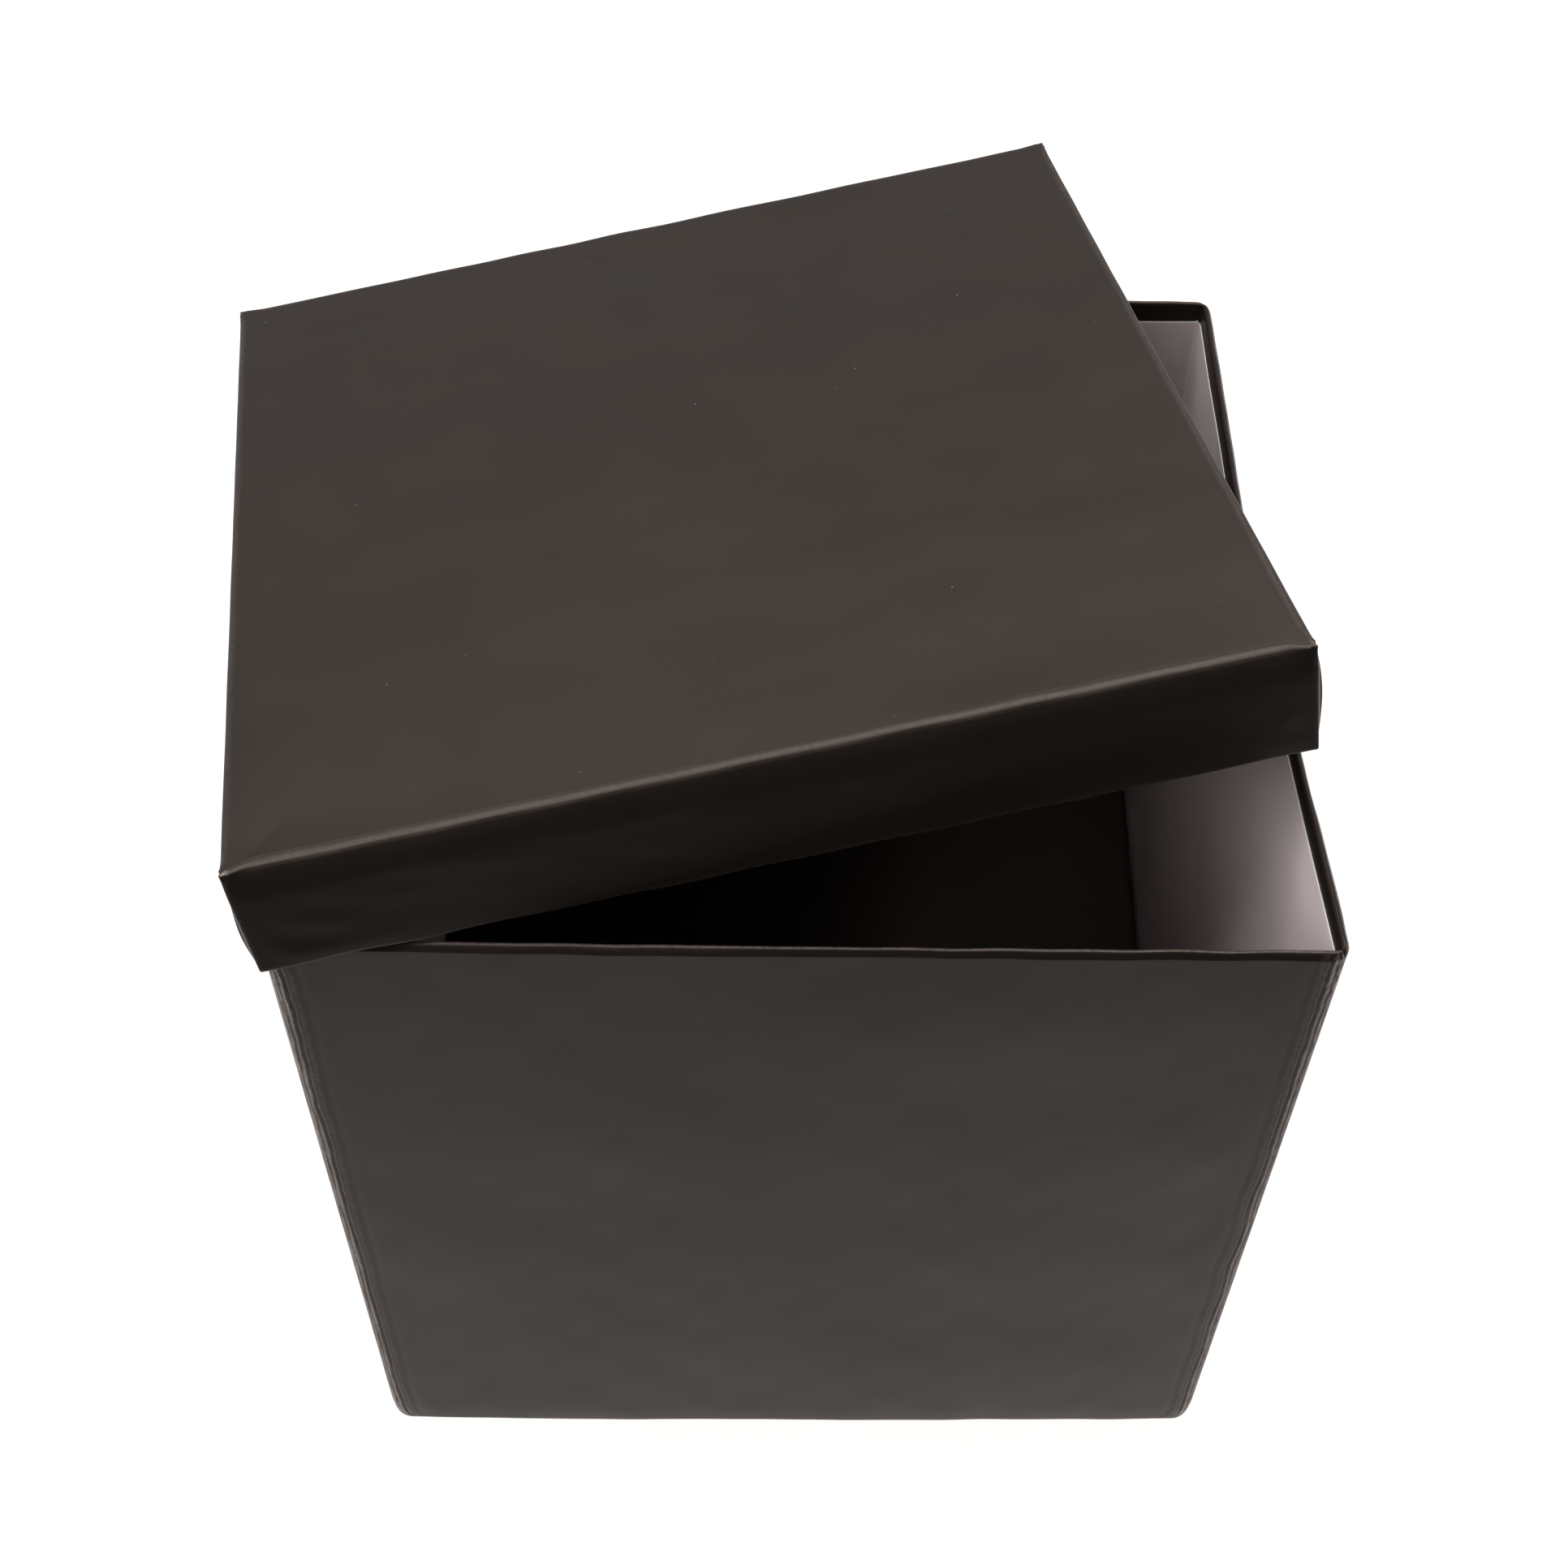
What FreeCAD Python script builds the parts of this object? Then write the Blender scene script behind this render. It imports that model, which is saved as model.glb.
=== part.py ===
import FreeCAD, Part
import os
import Sketcher

# A fold-flat storage box: four board walls held together by a paper wrap, a floor panel hinged along the
# front wall, and a shallow lift-off lid that lies askew on the rim. Millimetres, +Z up, origin at the
# centre of the ring on which the walls stand, front wall towards -Y.

doc = FreeCAD.newDocument("storage_box")
sheet = doc.addObject("Spreadsheet::Sheet", "sizes")
sheet.Label = "sizes"

# alias, value, what it is
SIZES = [
    ("box_width", 250.0, "outer width of the base, X"),
    ("box_depth", 248.0, "outer depth of the base, Y"),
    ("box_height", 244.0, "outer height of the base, Z"),
    ("paper", 0.15, "thickness of wrap and liner papers"),
    ("wall_board", 2.0, "thickness of the wall boards"),
    ("corner_radius", 5.0, "outer radius of the soft vertical corners"),
    ("crease_gap", 3.0, "gap between the two halves of a side wall"),
    ("rim_turn_in", 5.0, "wrap showing inside the rim, above the liner"),
    ("liner_foot", 0.5, "height at which the wall liner starts"),
    ("tape", 0.3, "thickness of the corner tapes"),
    ("floor_width", 240.0, "floor panel, X"),
    ("floor_depth", 240.0, "floor panel, from its hinge line backwards"),
    ("floor_board", 2.0, "thickness of the floor panel's board"),
    ("floor_foot", 0.2, "gap under the floor panel when it lies flat"),
    ("floor_tilt", 13.5, "degrees the floor panel stands up from flat"),
    ("hinge_gap", 0.35, "from the hinge strip to the hinge line"),
    ("strip_foot", 1.0, "lower edge of the hinge strip"),
    ("strip_height", 13.0, "height of the hinge strip"),
    ("strip_width", 236.0, "length of the hinge strip, X"),
    ("lid_width", 253.4, "outer width of the lid"),
    ("lid_depth", 251.6, "outer depth of the lid"),
    ("lid_height", 30.0, "outer height of the lid"),
    ("lid_board", 1.2, "thickness of the lid boards"),
    ("lid_turn_in", 15.0, "wrap turned up inside the lid's skirt"),
    ("lid_x", -27.9, "centre of the lid's top face"),
    ("lid_y", 19.4, "centre of the lid's top face"),
    ("lid_z", 271.32, "centre of the lid's top face"),
    ("lid_yaw", 10.58, "degrees the lid is turned about Z"),
    ("lid_pitch", -6.64, "degrees the lid leans about its own Y"),
    ("lid_roll", -6.69, "degrees the lid leans about its own X"),
]

value = {}
for row, (alias, number, words) in enumerate(SIZES, start=1):
    sheet.set("A%d" % row, words)
    sheet.set("B%d" % row, repr(number))
    sheet.setAlias("B%d" % row, alias)
    value[alias] = number
doc.recompute()


def number_of(expression):
    """The sheet's answer to an expression that uses its names, for a sketch's starting shape."""
    sheet.set("D1", "=" + expression)
    sheet.recompute()
    return float(sheet.get("D1"))


def in_sheet(expression):
    """The same expression, written so that another object can use it."""
    for alias in sorted(value, key=len, reverse=True):
        expression = expression.replace(alias, "sizes.@" + alias)
    return expression.replace("@", "")


def bind(thing, prop, expression):
    thing.setExpression(prop, in_sheet(expression))


def pin(sketch, kind, geometry, point, expression):
    """One coordinate of one point of the sketch, tied to the sheet."""
    start = number_of(expression)
    index = sketch.addConstraint(Sketcher.Constraint(kind, -1, 1, geometry, point, start))
    sketch.setExpression("Constraints[%d]" % index, in_sheet(expression))


def rectangle(sketch, left, right, front, back):
    """A closed rectangle with its corners tied to the sheet."""
    xs = [left, right, right, left]
    ys = [front, front, back, back]
    spots = [FreeCAD.Vector(number_of(x), number_of(y), 0) for x, y in zip(xs, ys)]
    first = sketch.GeometryCount
    for i in range(4):
        sketch.addGeometry(Part.LineSegment(spots[i], spots[(i + 1) % 4]), False)
    for i in range(4):
        after = first + (i + 1) % 4
        sketch.addConstraint(Sketcher.Constraint("Coincident", first + i, 2, after, 1))
    for i in range(4):
        pin(sketch, "DistanceX", first + i, 1, xs[i])
        pin(sketch, "DistanceY", first + i, 1, ys[i])


def soft_rectangle(sketch, half_x, half_y, radius):
    """A closed rectangle about the origin, with rounded corners."""
    hx = number_of(half_x)
    hy = number_of(half_y)
    r = number_of(radius)
    signs = [(1, 1), (-1, 1), (-1, -1), (1, -1)]
    quarter = 1.5707963267948966
    up = FreeCAD.Vector(0, 0, 1)
    first = sketch.GeometryCount
    centres = [FreeCAD.Vector(sx * (hx - r), sy * (hy - r), 0) for sx, sy in signs]
    for i in range(4):
        circle = Part.Circle(centres[i], up, r)
        sketch.addGeometry(Part.ArcOfCircle(circle, i * quarter, (i + 1) * quarter), False)
    for i in range(4):
        ax, ay = [(0, 1), (-1, 0), (0, -1), (1, 0)][i]
        start = centres[i] + FreeCAD.Vector(ax * r, ay * r, 0)
        end = centres[(i + 1) % 4] + FreeCAD.Vector(ax * r, ay * r, 0)
        sketch.addGeometry(Part.LineSegment(start, end), False)
    for i in range(4):
        arc = first + i
        line = first + 4 + i
        after = first + (i + 1) % 4
        sketch.addConstraint(Sketcher.Constraint("Tangent", arc, 2, line, 1))
        sketch.addConstraint(Sketcher.Constraint("Tangent", line, 2, after, 1))
        sketch.addConstraint(Sketcher.Constraint("Vertical" if i % 2 else "Horizontal", line))
    for i in range(4):
        index = sketch.addConstraint(Sketcher.Constraint("Radius", first + i, r))
        sketch.setExpression("Constraints[%d]" % index, in_sheet(radius))
    for i in (0, 2):
        sx, sy = signs[i]
        pin(sketch, "DistanceX", first + i, 3, "%d * ((%s) - (%s))" % (sx, half_x, radius))
        pin(sketch, "DistanceY", first + i, 3, "%d * ((%s) - (%s))" % (sy, half_y, radius))


def new_body(name):
    body = doc.addObject("PartDesign::Body", name)
    body.Label = name
    return body


def pad(body, name, bottom, height, draw):
    """Adds material to the body: the outline that draw() makes, from bottom up by height."""
    sketch = doc.addObject("Sketcher::SketchObject", name + "_outline")
    body.addObject(sketch)
    draw(sketch)
    bind(sketch, "Placement.Base.z", bottom)
    feature = doc.addObject("PartDesign::Pad", name)
    body.addObject(feature)
    feature.Profile = sketch
    bind(feature, "Length", height)
    sketch.Visibility = False
    body.Tip = feature
    return feature


def slab(name, left, right, front, back, bottom, height):
    """A body that is one rectangular sheet or board."""
    body = new_body(name)
    pad(body, name + "_pad", bottom, height, lambda s: rectangle(s, left, right, front, back))
    return body


def set_down(thing, x, y, z):
    """Where the sub-part stands, tied to the sheet."""
    for axis, expression in (("x", x), ("y", y), ("z", z)):
        bind(thing, "Placement.Base." + axis, expression)


nodes = []

# ---- the base: wall boards -------------------------------------------------------------------------
half_w = "box_width / 2"
half_d = "box_depth / 2"
wall = "(2 * paper + wall_board)"
board_height = "box_height - paper"

for name, side in (("front_board", -1), ("back_board", 1)):
    edges = ["%d * (%s - paper)" % (side, half_d), "%d * (%s - paper - wall_board)" % (side, half_d)]
    low, high = edges if side < 0 else edges[::-1]
    reach = "(%s - corner_radius)" % half_w
    nodes.append(slab(name, "-" + reach, reach, low, high, "0", board_height))

for name, side, end in (
    ("left_front_board", -1, -1),
    ("left_rear_board", -1, 1),
    ("right_front_board", 1, -1),
    ("right_rear_board", 1, 1),
):
    edges = ["%d * (%s - paper)" % (side, half_w), "%d * (%s - paper - wall_board)" % (side, half_w)]
    left, right = edges if side < 0 else edges[::-1]
    ends = ["%d * (%s - corner_radius)" % (end, half_d), "%d * crease_gap / 2" % end]
    front, back = ends if end < 0 else ends[::-1]
    nodes.append(slab(name, left, right, front, back, "0", board_height))


# ---- the base: papers ------------------------------------------------------------------------------
def ring_of_wall(sketch, outer_inset, inner_inset):
    """The wall's plan between two depths, measured inwards from the outer face."""
    for inset in (outer_inset, inner_inset):
        soft_rectangle(
            sketch,
            "%s - (%s)" % (half_w, inset),
            "%s - (%s)" % (half_d, inset),
            "corner_radius - (%s)" % inset,
        )


wrap = new_body("outer_wrap")
pad(wrap, "wrap_skin", "0", "box_height", lambda s: ring_of_wall(s, "0", "paper"))
pad(wrap, "wrap_rim", "box_height - paper", "paper", lambda s: ring_of_wall(s, "0", wall))
pad(wrap, "wrap_turn_in", "box_height - rim_turn_in", "rim_turn_in",
    lambda s: ring_of_wall(s, "paper + wall_board", wall))
nodes.append(wrap)

liner = new_body("wall_liner")
pad(liner, "liner_pad", "liner_foot", "box_height - rim_turn_in - liner_foot",
    lambda s: ring_of_wall(s, "paper + wall_board", wall))
nodes.append(liner)

# quarter-round tapes that reinforce the four soft corners, inside the wrap
for name, sx, sy, turn in (
    ("corner_tape_back_right", 1, 1, 0.0),
    ("corner_tape_back_left", -1, 1, 90.0),
    ("corner_tape_front_left", -1, -1, 180.0),
    ("corner_tape_front_right", 1, -1, 270.0),
):
    rounds = []
    for part, radius in (("_outer", "corner_radius - paper"), ("_inner", "corner_radius - paper - tape")):
        quarter_round = doc.addObject("Part::Cylinder", name + part)
        quarter_round.Angle = 90.0
        bind(quarter_round, "Radius", radius)
        bind(quarter_round, "Height", board_height)
        rounds.append(quarter_round)
    tape = doc.addObject("Part::Cut", name)
    tape.Base = rounds[0]
    tape.Tool = rounds[1]
    tape.Label = name
    tape.Placement.Rotation = FreeCAD.Rotation(FreeCAD.Vector(0, 0, 1), turn)
    set_down(tape, "%d * (%s - corner_radius)" % (sx, half_w),
             "%d * (%s - corner_radius)" % (sy, half_d), "0")
    nodes.append(tape)

# paper strip on the front wall's inner face, from which the floor panel hangs
strip = doc.addObject("Part::Box", "floor_hinge_strip")
strip.Label = "floor_hinge_strip"
bind(strip, "Length", "strip_width")
bind(strip, "Width", "paper")
bind(strip, "Height", "strip_height")
set_down(strip, "-strip_width / 2", "%s - %s" % (wall, half_d), "strip_foot")
nodes.append(strip)

# ---- the floor panel: drawn with its hinge line on X, top face at z = 0 -----------------------------
half_f = "floor_width / 2"
floor_parts = [
    slab("floor_board", "paper - " + half_f, half_f + " - paper", "paper", "floor_depth - paper",
         "-paper - floor_board", "floor_board"),
    slab("floor_backing", "paper - " + half_f, half_f + " - paper", "paper", "floor_depth - paper",
         "-2 * paper - floor_board", "paper"),
]
cover = new_body("floor_cover")
pad(cover, "cover_top", "-paper", "paper",
    lambda s: rectangle(s, "-" + half_f, half_f, "0", "floor_depth"))


def cover_edges(sketch):
    rectangle(sketch, "-" + half_f, half_f, "0", "floor_depth")
    rectangle(sketch, "paper - " + half_f, half_f + " - paper", "paper", "floor_depth - paper")


pad(cover, "cover_edges", "-2 * paper - floor_board", "2 * paper + floor_board", cover_edges)
floor_parts.append(cover)
for thing in floor_parts:
    thing.Placement.Rotation = FreeCAD.Rotation(FreeCAD.Vector(1, 0, 0), value["floor_tilt"])
    bind(thing, "Placement.Rotation.Angle", "floor_tilt")
    set_down(thing, "0", "%s + paper + hinge_gap - %s" % (wall, half_d),
             "floor_foot + 2 * paper + floor_board")
nodes.extend(floor_parts)

# ---- the lid: drawn upright with its outer top face centred on the origin ---------------------------
half_lw = "lid_width / 2"
half_ld = "lid_depth / 2"
lid_foot = "paper - lid_height"
skirt_height = "lid_height - 2 * paper - lid_board"
inner = "paper - lid_board"
lid_parts = [
    slab("lid_top_board", "paper - " + half_lw, half_lw + " - paper", "paper - " + half_ld,
         half_ld + " - paper", "-paper - lid_board", "lid_board"),
    slab("lid_front_skirt", "paper - " + half_lw, half_lw + " - paper", "paper - " + half_ld,
         "paper + lid_board - " + half_ld, lid_foot, skirt_height),
    slab("lid_back_skirt", "paper - " + half_lw, half_lw + " - paper",
         half_ld + " - paper - lid_board", half_ld + " - paper", lid_foot, skirt_height),
    slab("lid_left_skirt", "paper - " + half_lw, "paper + lid_board - " + half_lw,
         "paper + lid_board - " + half_ld, half_ld + " - paper - lid_board", lid_foot, skirt_height),
    slab("lid_right_skirt", half_lw + " - paper - lid_board", half_lw + " - paper",
         "paper + lid_board - " + half_ld, half_ld + " - paper - lid_board", lid_foot, skirt_height),
]


def lid_loop(sketch, inset):
    """The lid's plan at one depth inwards from its outer face."""
    rectangle(sketch, "%s - %s" % (inset, half_lw), "%s - (%s)" % (half_lw, inset),
              "%s - %s" % (inset, half_ld), "%s - (%s)" % (half_ld, inset))


def lid_ring(sketch, outer_inset, inner_inset):
    lid_loop(sketch, outer_inset)
    lid_loop(sketch, inner_inset)


lid_wall = "2 * paper + lid_board"
lid_wrap = new_body("lid_wrap")
pad(lid_wrap, "lid_wrap_top", "-paper", "paper", lambda s: lid_loop(s, "0"))
pad(lid_wrap, "lid_wrap_sides", "-lid_height", "lid_height", lambda s: lid_ring(s, "0", "paper"))
pad(lid_wrap, "lid_wrap_foot", "-lid_height", "paper", lambda s: lid_ring(s, "0", lid_wall))
pad(lid_wrap, "lid_wrap_turn_in", "-lid_height", "lid_turn_in",
    lambda s: lid_ring(s, "paper + lid_board", lid_wall))
lid_parts.append(lid_wrap)

lid_liner = new_body("lid_liner")
pad(lid_liner, "lid_liner_top", "-2 * paper - lid_board", "paper",
    lambda s: lid_loop(s, "paper + lid_board"))
pad(lid_liner, "lid_liner_sides", "lid_turn_in - lid_height",
    "lid_height - lid_turn_in - paper - lid_board",
    lambda s: lid_ring(s, "paper + lid_board", lid_wall))
lid_parts.append(lid_liner)

for thing in lid_parts:
    turn = FreeCAD.Rotation(value["lid_yaw"], value["lid_pitch"], value["lid_roll"])
    thing.Placement = FreeCAD.Placement(FreeCAD.Vector(0, 0, 0), turn)
    set_down(thing, "lid_x", "lid_y", "lid_z")
nodes.extend(lid_parts)

doc.recompute()

# ---- check and export ------------------------------------------------------------------------------
bad = []
for thing in doc.Objects:
    if "Invalid" in thing.State or "Error" in thing.State:
        bad.append(thing.Name)
for thing in nodes:
    if thing.Shape.isNull() or not thing.Shape.isValid() or len(thing.Shape.Solids) != 1:
        bad.append(thing.Name)
if bad:
    raise RuntimeError("these objects did not build: " + ", ".join(sorted(set(bad))))

os.makedirs("parts", exist_ok=True)
for thing in nodes:
    thing.Shape.exportStep("parts/" + thing.Label + ".step")
print(len(nodes), "sub-parts written")
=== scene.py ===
"""A board box wrapped in dark paper, its lid askew on the rim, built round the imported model."""

import math

import bmesh
import bpy
import numpy as np
from mathutils import Matrix, Vector


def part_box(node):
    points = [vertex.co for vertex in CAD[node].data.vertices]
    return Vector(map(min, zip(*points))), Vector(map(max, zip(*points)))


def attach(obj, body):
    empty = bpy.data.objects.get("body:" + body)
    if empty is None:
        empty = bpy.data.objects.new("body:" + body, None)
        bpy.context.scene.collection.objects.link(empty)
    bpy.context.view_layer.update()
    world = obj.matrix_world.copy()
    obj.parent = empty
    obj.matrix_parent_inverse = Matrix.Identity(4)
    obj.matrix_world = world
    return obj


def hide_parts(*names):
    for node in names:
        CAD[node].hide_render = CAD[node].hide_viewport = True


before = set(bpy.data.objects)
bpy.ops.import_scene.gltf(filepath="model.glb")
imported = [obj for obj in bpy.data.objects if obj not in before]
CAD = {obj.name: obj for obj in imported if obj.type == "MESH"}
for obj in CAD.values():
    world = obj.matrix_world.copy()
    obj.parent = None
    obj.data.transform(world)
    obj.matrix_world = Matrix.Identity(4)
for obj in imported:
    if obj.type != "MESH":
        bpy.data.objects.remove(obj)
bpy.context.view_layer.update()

MM = 0.001
PAPER = 0.15 * MM
CORNER = 5.0 * MM

# ---- sizes, read from the frame ---------------------------------------------------------------------
wrap_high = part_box("outer_wrap")[1]
liner_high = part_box("wall_liner")[1]
HALF_W, HALF_D, HEIGHT = wrap_high.x, wrap_high.y, wrap_high.z
WALL = HALF_W - liner_high.x + PAPER
TURN_IN = HEIGHT - liner_high.z


def face_axes(node):
    """A box-shaped CAD node's own axes: its faces' normals nearest +X, +Y and +Z."""
    normals = [p.normal for p in CAD[node].data.polygons]
    return [Vector(max(normals, key=lambda n: n[i])).normalized() for i in range(3)]


def extents(node, axes):
    """Lowest and highest reach of a CAD node along each of those axes."""
    points = np.array([v.co for v in CAD[node].data.vertices])
    along = points @ np.array(axes).T
    return along.min(0), along.max(0)


def placed(node, wrap):
    """Axes, origin (middle of the wrap's top face) and half sizes of a leaning, box-shaped body."""
    axes = face_axes(node)
    low, high = extents(wrap, axes)
    middle = (low + high) / 2
    middle[2] = high[2]
    origin = sum((axes[i] * middle[i] for i in range(3)), Vector())
    return np.array(axes), np.array(origin), (high - low) / 2


LID_AXES, LID_ORIGIN, lid_half = placed("lid_top_board", "lid_wrap")
LID_W, LID_D, LID_H = lid_half[0], lid_half[1], 2 * lid_half[2]
LID_BOARD = 1.2 * MM
LID_WALL = LID_BOARD + 2 * PAPER
FLOOR_AXES, FLOOR_ORIGIN, floor_half = placed("floor_board", "floor_cover")
FLOOR_W, FLOOR_D, FLOOR_T = floor_half[0], floor_half[1], 2 * floor_half[2]

# ---- how the thin board has sprung out of square, in millimetres -------------------------------------
# one shift for each corner: front left, front right, back right, back left
RIM_SHIFT = ((-0.85, 0.75), (0.8, -1.35), (0.3, 0.2), (0.1, -0.4))
LID_TOP_SHIFT = ((1.85, 0.9, -0.4), (-2.8, 0.4, -0.9), (0.4, 0.4, 0.3), (2.55, 0.0, -2.2))
LID_SKIRT_SHIFT = ((0.5, -1.1), (0.8, -1.3), (-0.4, 0.2), (-1.15, 0.9))
SIDE_BOW = 3.1  # inwards at the side walls' creases, at the rim
CREASE_Y = 26.0
STRAIGHT_FROM = 119  # the side walls' straight halves start this far from the middle
BACK_BOW = 0.9  # outwards at the back rim
FRONT_BOW = 0.5  # outwards at the front rim
FOOT_BULGE = 0.9  # outwards at the front's foot
LID_DRAW_IN = -1.9  # the top's front edge
LID_BULGE_RIGHT, LID_BULGE_LEFT, LID_BULGE_BACK = 1.6, 1.4, 0.8  # of the skirts, outwards


# ---- small helpers ----------------------------------------------------------------------------------
WAVES = 7


def ripple(seed, wavelength, *coords):
    """Smooth wandering between about -1 and 1, from a few seeded waves."""
    chance = np.random.default_rng(seed)
    total = 0.0
    for _ in range(WAVES):
        direction = chance.normal(size=len(coords))
        direction /= np.linalg.norm(direction)
        rate = 2 * math.pi / (wavelength * chance.uniform(0.7, 1.6))
        phase = chance.uniform(0, 2 * math.pi)
        total = total + np.sin(rate * sum(d * c for d, c in zip(direction, coords)) + phase)
    return total / math.sqrt(WAVES)


def bump(x, centre, width):
    """1 at the centre, falling smoothly to nothing at about twice the width."""
    return np.exp(-(((x - centre) / width) ** 2))


def ramp(x, low, high):
    """0 below low, 1 above high, smooth between."""
    t = np.clip((x - low) / (high - low), 0, 1)
    return t * t * (3 - 2 * t)


def corner_mix(x, y, half_x, half_y, values):
    """Blends one value per corner over a rectangle."""
    u = np.clip((x / half_x + 1) / 2, 0, 1)[..., None]
    v = np.clip((y / half_y + 1) / 2, 0, 1)[..., None]
    front_left, front_right, back_right, back_left = (np.array(one) for one in values)
    front = (1 - u) * front_left + u * front_right
    back = (1 - u) * back_left + u * back_right
    return (1 - v) * front + v * back


def side_bow(y):
    """0 at the corners, 1 at the crease: two straight halves that meet in a soft kink."""
    front = (y / MM + STRAIGHT_FROM) / (CREASE_Y + STRAIGHT_FROM)
    back = (STRAIGHT_FROM - y / MM) / (STRAIGHT_FROM - CREASE_Y)
    soft = 0.05
    both = -soft * np.log(np.exp(-front / soft) + np.exp(-back / soft))
    return np.clip(both, 0, 1)


def near_wall(place, half, reach=12 * MM):
    """0 in the box's middle, 1 in the wall that stands at half."""
    return ramp(place, half - reach, half - 3 * MM)


def sprung_base(points):
    """The base's walls as they stand: creased sides drawn in, corners racked, back bowed out."""
    p = np.array(points, float)
    x, y, z = p[..., 0], p[..., 1], p[..., 2]
    up = np.clip(z / HEIGHT, 0, 1)
    out = p.copy()
    bowed_in = SIDE_BOW * MM * side_bow(y) * (0.5 + 0.5 * up)
    across = np.clip(1 - (x / (HALF_W - 4 * MM)) ** 2, 0, 1)
    rear = near_wall(y, HALF_D)
    fore = near_wall(-y, HALF_D)
    out[..., 0] -= np.sign(x) * bowed_in * near_wall(np.abs(x), HALF_W)
    out[..., 1] += BACK_BOW * MM * across * up * rear
    out[..., 1] -= FOOT_BULGE * MM * across * (1 - up) ** 2 * fore
    out[..., 1] -= FRONT_BOW * MM * across * up ** 4 * fore
    shift = corner_mix(x, y, HALF_W, HALF_D, RIM_SHIFT) * MM
    out[..., :2] += shift * up[..., None]
    return out


def sprung_lid(points):
    """The lid's own frame to the object's: twisted a little, its top sagged and its skirts bulged."""
    p = np.array(points, float)
    x, y, z = p[..., 0], p[..., 1], p[..., 2]
    down = np.clip(-z / LID_H, 0, 1)
    out = p + corner_mix(x, y, LID_W, LID_D, LID_TOP_SHIFT) * MM
    mm_x, mm_y, mm_z = x / MM, y / MM, z / MM
    half_x, half_y = LID_W / MM, LID_D / MM

    # the top sags a little inside its edges
    inside = np.minimum(half_x - np.abs(mm_x), half_y - np.abs(mm_y)) - 3.0
    sag = 0.30 * ripple(18, 95, mm_x, mm_y) + 0.10 * ripple(19, 38, mm_x, mm_y) - 0.25
    out[..., 2] += MM * ramp(inside, 0.0, 14.0) * ramp(mm_z, -4, -2) * sag

    # each skirt's turned-up edge stands proud near its foot, and the top's front edge is drawn in
    foot = 0.08 * bump(mm_z, -26.5, 2.5)
    drawn_in = LID_DRAW_IN * np.clip((mm_z + 9.5) / 8.7, 0, 1) ** 2.2
    along_x = ramp(half_x - np.abs(mm_x), 1.0, 7.0)
    along_y = ramp(half_y - np.abs(mm_y), 1.0, 7.0)
    near_x = ramp(np.abs(mm_x), half_x - 5, half_x - 2)
    near_y = ramp(np.abs(mm_y), half_y - 5, half_y - 2)
    out[..., 1] += np.sign(y) * foot * along_x * near_y * MM
    out[..., 0] += np.sign(x) * foot * along_y * near_x * MM
    front_edge = np.where(y < 0, ramp(np.abs(mm_y), half_y - 7, half_y - 2), 0)
    out[..., 1] -= drawn_in * (0.55 + 0.45 * along_x) * front_edge * MM

    # the skirts' feet are racked, and the side and back skirts bulge between top and foot
    out[..., :2] += corner_mix(x, y, LID_W, LID_D, LID_SKIRT_SHIFT) * MM * down[..., None]
    low_down = np.where(x > 0, down, np.clip((down - 0.15) / 0.85, 0, 1) ** 1.3)
    belly = np.sin(math.pi * np.clip(low_down, 0, 1)) ** 1.1
    behind = (LID_D - np.abs(y)) / MM
    held = np.exp(-((np.clip(behind - 0.4, 0, None) / 1.1) ** 2))
    near = (1 - held) * (0.4 + 0.6 * np.exp(-behind / 30))
    side = near_wall(np.abs(x), LID_W, 10 * MM)
    size = np.where(x > 0, LID_BULGE_RIGHT, LID_BULGE_LEFT)
    out[..., 0] += np.sign(x) * size * MM * belly * near * side
    far = near_wall(y, LID_D, 10 * MM)
    between = 1 - np.clip(np.abs(x) / LID_W, 0, 1) ** 6
    out[..., 1] += LID_BULGE_BACK * MM * belly * between * far
    return LID_ORIGIN + out @ LID_AXES


def laid_floor(points):
    """The floor panel's own frame to the object's."""
    return FLOOR_ORIGIN + np.array(points, float) @ FLOOR_AXES


def mesh_object(name, vertices, faces, crisp):
    """A mesh in the scene, shaded smooth but for edges sharper than crisp degrees."""
    mesh = bpy.data.meshes.new(name)
    mesh.from_pydata([tuple(v) for v in vertices], [], [tuple(f) for f in faces])
    mesh.validate()
    mesh.update()
    thing = bpy.data.objects.new(name, mesh)
    bpy.context.scene.collection.objects.link(thing)
    mesh.shade_smooth()
    mesh.set_sharp_from_angle(angle=math.radians(crisp))
    return thing


def quads(rows, columns, loop):
    """Faces of a grid; loop joins the last column to the first."""
    found = []
    last = columns if loop else columns - 1
    for r in range(rows - 1):
        for c in range(last):
            here, beyond = r * columns, (r + 1) * columns
            d = (c + 1) % columns
            found.append((here + c, here + d, beyond + d, beyond + c))
    return found


def grid_normals(grid, loop):
    """Normals of a grid of points, on the side that its faces turn to."""
    along = np.gradient(grid, axis=0)
    if loop:
        across = np.roll(grid, -1, axis=1) - np.roll(grid, 1, axis=1)
    else:
        across = np.gradient(grid, axis=1)
    normal = np.cross(across, along)
    length = np.linalg.norm(normal, axis=2, keepdims=True)
    return normal / np.maximum(length, 1e-12)


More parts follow.
